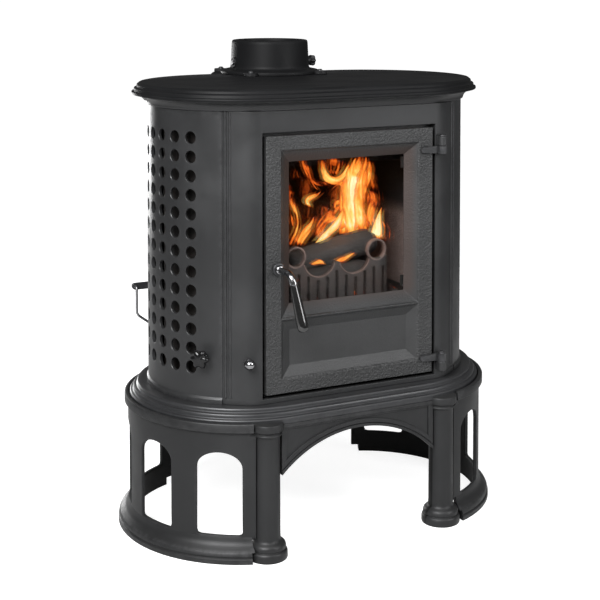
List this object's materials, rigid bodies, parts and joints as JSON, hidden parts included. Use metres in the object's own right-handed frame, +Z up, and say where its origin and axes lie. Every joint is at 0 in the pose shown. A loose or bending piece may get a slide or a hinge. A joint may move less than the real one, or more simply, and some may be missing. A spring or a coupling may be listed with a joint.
{
  "type": "wood stove",
  "caption": "Oval cast-iron wood stove with a glass door, perforated sides, a round top flue collar with a damper, and an open arcaded stand.",
  "frame": {"origin": "on the floor, in the middle of the stove's outline", "axes": "+Z up, the door faces -Y, +X to the right of someone who faces the door"},
  "size_m": [0.582, 0.4214, 0.6967],
  "materials": {
    "iron": "satin dark grey stove enamel",
    "inner_iron": "raw heat-stained iron",
    "steel": "plain steel",
    "chrome": "polished plating",
    "grip": "gloss black heat-proof resin",
    "glass": "clear ceramic glass",
    "rope": "woven glass rope",
    "brick": "pressed vermiculite board"
  },
  "bodies": {
    "stove": {"skirt_right": "iron", "skirt_left": "iron", "stand_front": "iron", "base_plate": "iron", "side_panel_left": "iron", "side_panel_right": "iron", "back_panel": "iron", "crown_ring": "iron", "top_plate": "iron", "flue_box": "iron", "flue_collar": "iron", "front_frame": "iron", "hanger_bracket": "iron", "fire_wall_left": "inner_iron", "fire_wall_right": "inner_iron", "hearth_floor": "inner_iron", "grate": "inner_iron", "log_guard": "inner_iron", "hinge_pin_upper": "steel", "hinge_pin_lower": "steel", "ash_pan": "steel", "brick_left": "brick", "brick_right": "brick", "brick_back": "brick", "baffle": "brick"},
    "door": {"door_frame": "iron", "door_glass": "glass", "door_seal": "rope", "glass_clip_left_low": "steel", "glass_clip_left_high": "steel", "glass_clip_right_low": "steel", "glass_clip_right_high": "steel", "hinge_strap_upper": "iron", "hinge_strap_lower": "iron"},
    "handle": {"handle_stem": "chrome", "handle_grip": "grip", "latch_cam": "steel"},
    "damper": {"damper_spindle": "steel", "damper_plate": "inner_iron", "damper_knob": "iron"},
    "air_control": {"air_spindle": "steel", "air_disc": "inner_iron", "air_knob": "iron"},
    "riddling_rod": {"riddling_rod": "steel", "riddling_arm": "inner_iron", "riddling_rake": "inner_iron", "riddling_knob": "chrome"},
    "hook": {"hanger_hook": "steel"}
  },
  "joints": [
    {"name": "door_swing", "type": "hinge", "parent": "stove", "child": "door", "pos_m": [0.146, -0.15326, 0.4], "axis": [0, 0, 1], "range_deg": [0, 120]},
    {"name": "handle_turn", "type": "hinge", "parent": "door", "child": "handle", "pos_m": [-0.115, -0.14625, 0.393], "axis": [0, -1, 0], "range_deg": [0, 80]},
    {"name": "damper_turn", "type": "hinge", "parent": "stove", "child": "damper", "pos_m": [0, 0.13075, 0.6617], "axis": [1, 0, 0], "range_deg": [0, 90]},
    {"name": "air_turn", "type": "hinge", "parent": "stove", "child": "air_control", "pos_m": [-0.19045, -0.08563, 0.272], "axis": [-0.7242, -0.6896, 0], "range_deg": [0, 90]},
    {"name": "rod_pull", "type": "slide", "parent": "stove", "child": "riddling_rod", "axis": [0, -1, 0], "range_m": [0, 0.035]},
    {"name": "hook_swing", "type": "hinge", "parent": "stove", "child": "hook", "pos_m": [-0.23833, 0.099, 0.331], "axis": [0, 1, 0], "range_deg": [0, 25]}
  ]
}
